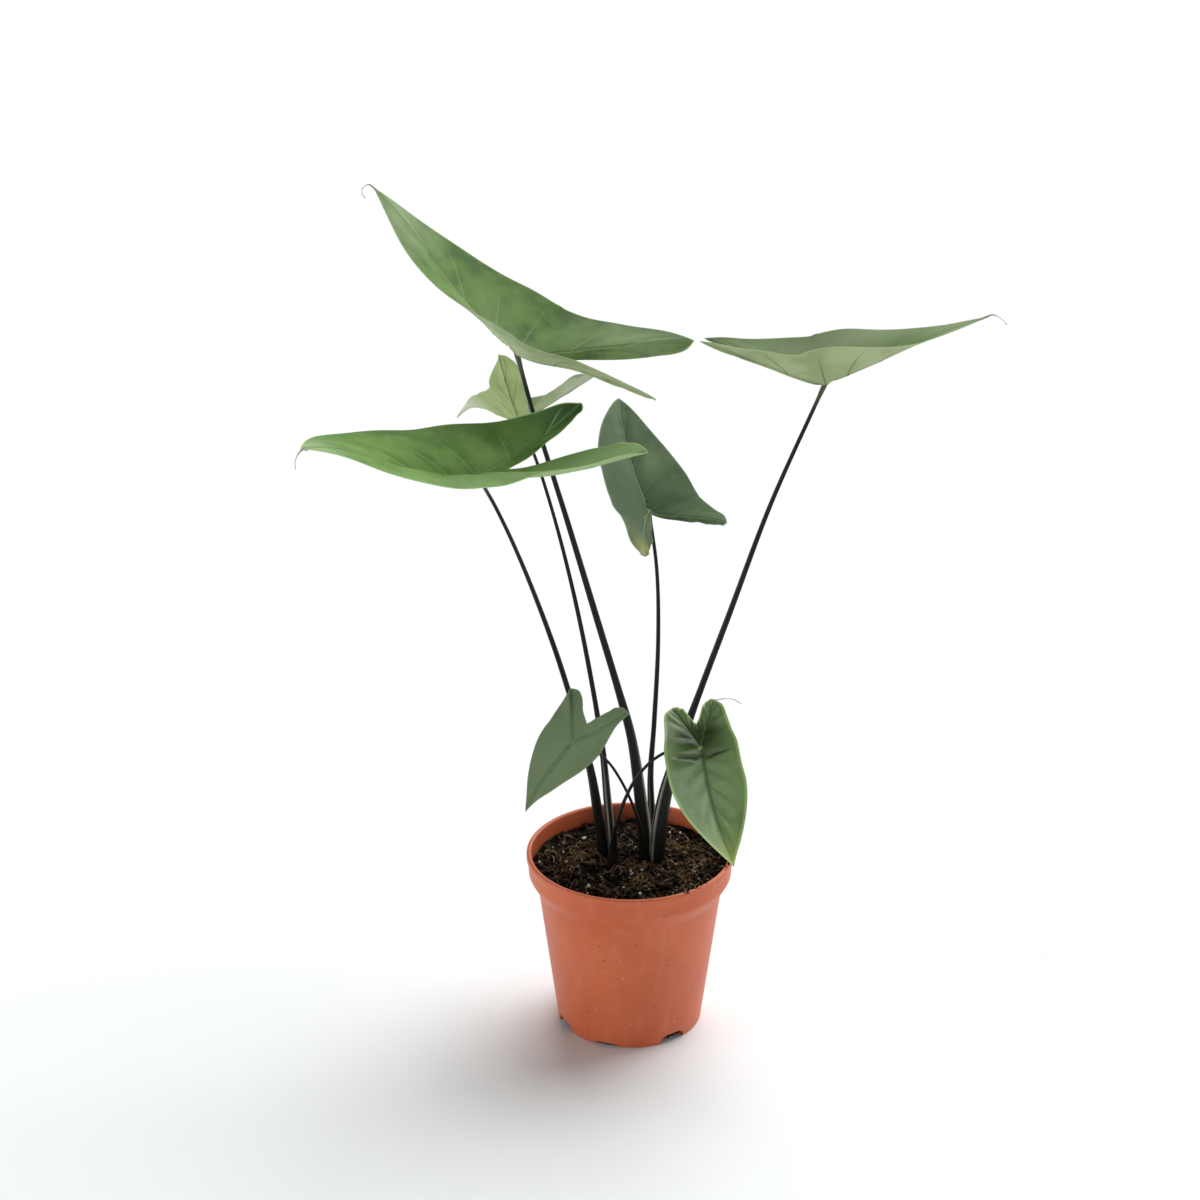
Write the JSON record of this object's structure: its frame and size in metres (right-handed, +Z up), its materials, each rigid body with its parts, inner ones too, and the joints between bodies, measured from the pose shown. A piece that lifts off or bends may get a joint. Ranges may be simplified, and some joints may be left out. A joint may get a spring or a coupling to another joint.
{
  "type": "potted alocasia plant",
  "caption": "Arrow-leaved house plant with dark upright stalks, standing in a round flared plastic nursery pot filled with soil.",
  "frame": {"origin": "middle of the pot's foot, on the surface it stands on", "axes": "+Z up; -Y is the side the plant is looked at from; +X is to the viewer's right"},
  "size_m": [0.3794, 0.2638, 0.4956],
  "materials": {
    "pot_plastic": "matte terracotta-coloured moulded plastic",
    "soil": "rough dark peat with fibres and white grains",
    "stalk": "smooth satin black-brown plant stalk",
    "leaf": "satin green leaf, paler underneath"
  },
  "bodies": {
    "root": {"pot": "pot_plastic", "soil": "soil", "stalk_high_left": "stalk", "blade_high_left": "leaf", "stalk_right": "stalk", "blade_right": "leaf", "stalk_front_left": "stalk", "blade_front_left": "leaf", "stalk_back": "stalk", "blade_back": "leaf", "stalk_pale_left": "stalk", "blade_pale_left": "leaf", "stalk_low_left": "stalk", "blade_low_left": "leaf", "stalk_low_right": "stalk", "blade_low_right": "leaf"}
  },
  "joints": []
}
